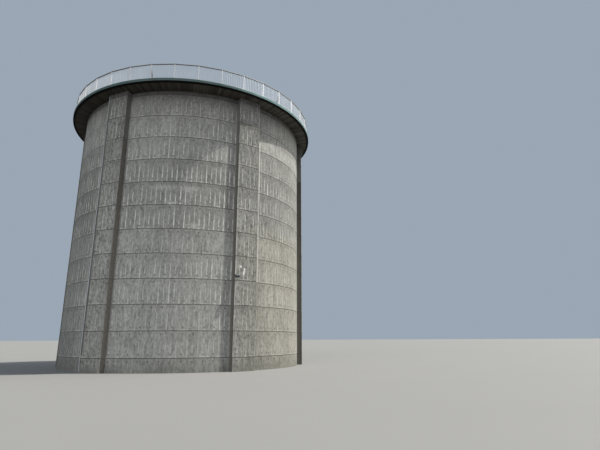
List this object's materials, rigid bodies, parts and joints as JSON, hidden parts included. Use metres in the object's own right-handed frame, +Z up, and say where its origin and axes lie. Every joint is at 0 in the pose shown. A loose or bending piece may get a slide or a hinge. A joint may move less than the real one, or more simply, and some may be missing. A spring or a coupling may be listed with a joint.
{
  "type": "water tower",
  "caption": "Round concrete water tank standing on the ground, with flat buttresses, a domed roof and an overhanging railed gallery.",
  "frame": {"origin": "on the ground, on the tank's axis", "axes": "+Z up, -Y towards the front wall panel, buttresses 30 degrees either side of it"},
  "size_m": [18.58, 18.58, 19.63],
  "materials": {
    "wall_concrete": "board and steel formed concrete, lime streaks",
    "buttress_concrete": "formed concrete, darker stains on the sides",
    "soffit_concrete": "board marked concrete, grimy",
    "roof_concrete": "trowelled concrete",
    "inner_concrete": "trowelled concrete",
    "green_coping": "weathered grey green sheet",
    "black_edge": "matt black",
    "railing_steel": "galvanised and painted light grey",
    "conduit_grey": "light grey",
    "lamp_metal": "dark blue grey"
  },
  "bodies": {
    "root": {"tank_floor": "inner_concrete", "wall_front": "wall_concrete", "wall_front_right": "wall_concrete", "wall_back_right": "wall_concrete", "wall_back": "wall_concrete", "wall_back_left": "wall_concrete", "wall_front_left": "wall_concrete", "buttress_front_right": "buttress_concrete", "buttress_right": "buttress_concrete", "buttress_back_right": "buttress_concrete", "buttress_back_left": "buttress_concrete", "buttress_left": "buttress_concrete", "buttress_front_left": "buttress_concrete", "ring_beam": "wall_concrete", "roof_dome": "roof_concrete", "gallery_slab": "soffit_concrete", "gallery_coping": "green_coping", "slab_edge_strip": "black_edge", "railing_01": "railing_steel", "railing_02": "railing_steel", "railing_03": "railing_steel", "railing_04": "railing_steel", "railing_05": "railing_steel", "railing_06": "railing_steel", "railing_07": "railing_steel", "railing_08": "railing_steel", "railing_09": "railing_steel", "railing_10": "railing_steel", "railing_11": "railing_steel", "railing_12": "railing_steel", "railing_13": "railing_steel", "railing_14": "railing_steel", "railing_15": "railing_steel", "railing_16": "railing_steel", "railing_17": "railing_steel", "railing_18": "railing_steel", "railing_19": "railing_steel", "conduit": "conduit_grey", "lamp_bracket": "lamp_metal", "lamp_housing": "lamp_metal"}
  },
  "joints": []
}
